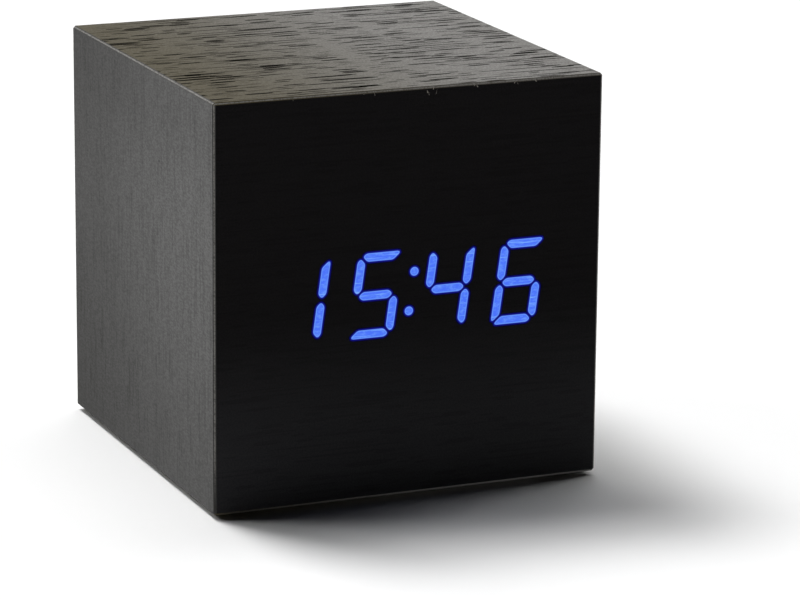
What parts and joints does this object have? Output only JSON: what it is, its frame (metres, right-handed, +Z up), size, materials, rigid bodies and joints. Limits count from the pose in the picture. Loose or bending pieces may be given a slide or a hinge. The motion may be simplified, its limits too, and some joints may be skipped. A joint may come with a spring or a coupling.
{
  "type": "talking clock",
  "caption": "Cube tabletop clock in dark wood veneer; an LED time display shines through the front, with buttons, speaker grille and power inlet at the back and a battery door below.",
  "frame": {"origin": "on the ground below the middle of the case", "axes": "+X right as seen from the front, +Y from the display to the back, +Z up"},
  "size_m": [0.068, 0.069, 0.0687],
  "materials": {
    "black_veneer": "black-stained open-pored wood veneer, satin",
    "fibreboard": "bare medium-density fibreboard",
    "black_rubber": "matte black rubber",
    "black_plastic": "fine-textured black moulding",
    "button_plastic": "smooth black moulding",
    "screw_steel": "plated steel",
    "circuit_laminate": "green circuit laminate",
    "chip_resin": "black moulding resin",
    "tinned_metal": "tinned metal",
    "contact_metal": "nickel-plated spring steel",
    "cell_jacket": "printed metal jacket, plain",
    "lit_light_guide": "lit blue light guide",
    "unlit_light_guide": "milky light guide",
    "housing_plastic": "grey-black moulding",
    "diffuser": "milky film",
    "led_package": "LED package",
    "ribbon_grey": "grey ribbon cable",
    "header_plastic": "black header",
    "red_wire": "red insulation",
    "black_wire": "black insulation",
    "mylar": "dark film",
    "magnet_steel": "zinc-plated magnet cup"
  },
  "bodies": {
    "case": {"back_board": "fibreboard", "back_veneer": "black_veneer", "battery_cell_1": "cell_jacket", "battery_cell_2": "cell_jacket", "battery_cell_3": "cell_jacket", "battery_tray": "black_plastic", "black_battery_wire": "black_wire", "bottom_board": "fibreboard", "capacitor": "cell_jacket", "chip_bodies": "chip_resin", "chip_leads": "tinned_metal", "clock_controller": "chip_resin", "contact_plates": "contact_metal", "contact_springs": "contact_metal", "diffuser_film": "diffuser", "digit_housing": "housing_plastic", "display_board": "circuit_laminate", "front_board": "fibreboard", "front_veneer": "black_veneer", "led_chips": "led_package", "left_board": "fibreboard", "lit_segments": "lit_light_guide", "main_board": "circuit_laminate", "main_board_screws": "screw_steel", "microphone": "tinned_metal", "microphone_pins": "tinned_metal", "panel_screws": "screw_steel", "power_socket_shell": "tinned_metal", "power_socket_tongue": "header_plastic", "quartz_crystal": "tinned_metal", "rear_panel": "black_plastic", "red_battery_wire": "red_wire", "ribbon_cable": "ribbon_grey", "ribbon_headers": "header_plastic", "right_board": "fibreboard", "rubber_feet": "black_rubber", "small_chip_parts": "led_package", "speaker_basket": "magnet_steel", "speaker_diaphragm": "mylar", "speaker_leads": "red_wire", "speaker_magnet": "magnet_steel", "switch_bodies": "chip_resin", "top_board": "fibreboard", "tray_screws": "screw_steel", "unlit_segments": "unlit_light_guide", "wrapped_veneer": "black_veneer"},
    "set_button": {"set_button": "button_plastic", "set_plunger": "chip_resin"},
    "up_button": {"up_button": "button_plastic", "up_plunger": "chip_resin"},
    "down_button": {"down_button": "button_plastic", "down_plunger": "chip_resin"},
    "battery_door": {"battery_door": "black_plastic"}
  },
  "joints": [
    {"name": "set_press", "type": "slide", "parent": "case", "child": "set_button", "axis": [0, -1, 0], "range_m": [0, 0.0004], "stiffness_N_per_m": 2000},
    {"name": "up_press", "type": "slide", "parent": "case", "child": "up_button", "axis": [0, -1, 0], "range_m": [0, 0.0004], "stiffness_N_per_m": 2000},
    {"name": "down_press", "type": "slide", "parent": "case", "child": "down_button", "axis": [0, -1, 0], "range_m": [0, 0.0004], "stiffness_N_per_m": 2000},
    {"name": "battery_door_hinge", "type": "hinge", "parent": "case", "child": "battery_door", "pos_m": [-0.02425, 0.001, 0.00145], "axis": [0, 1, 0], "range_deg": [0, 35]}
  ]
}
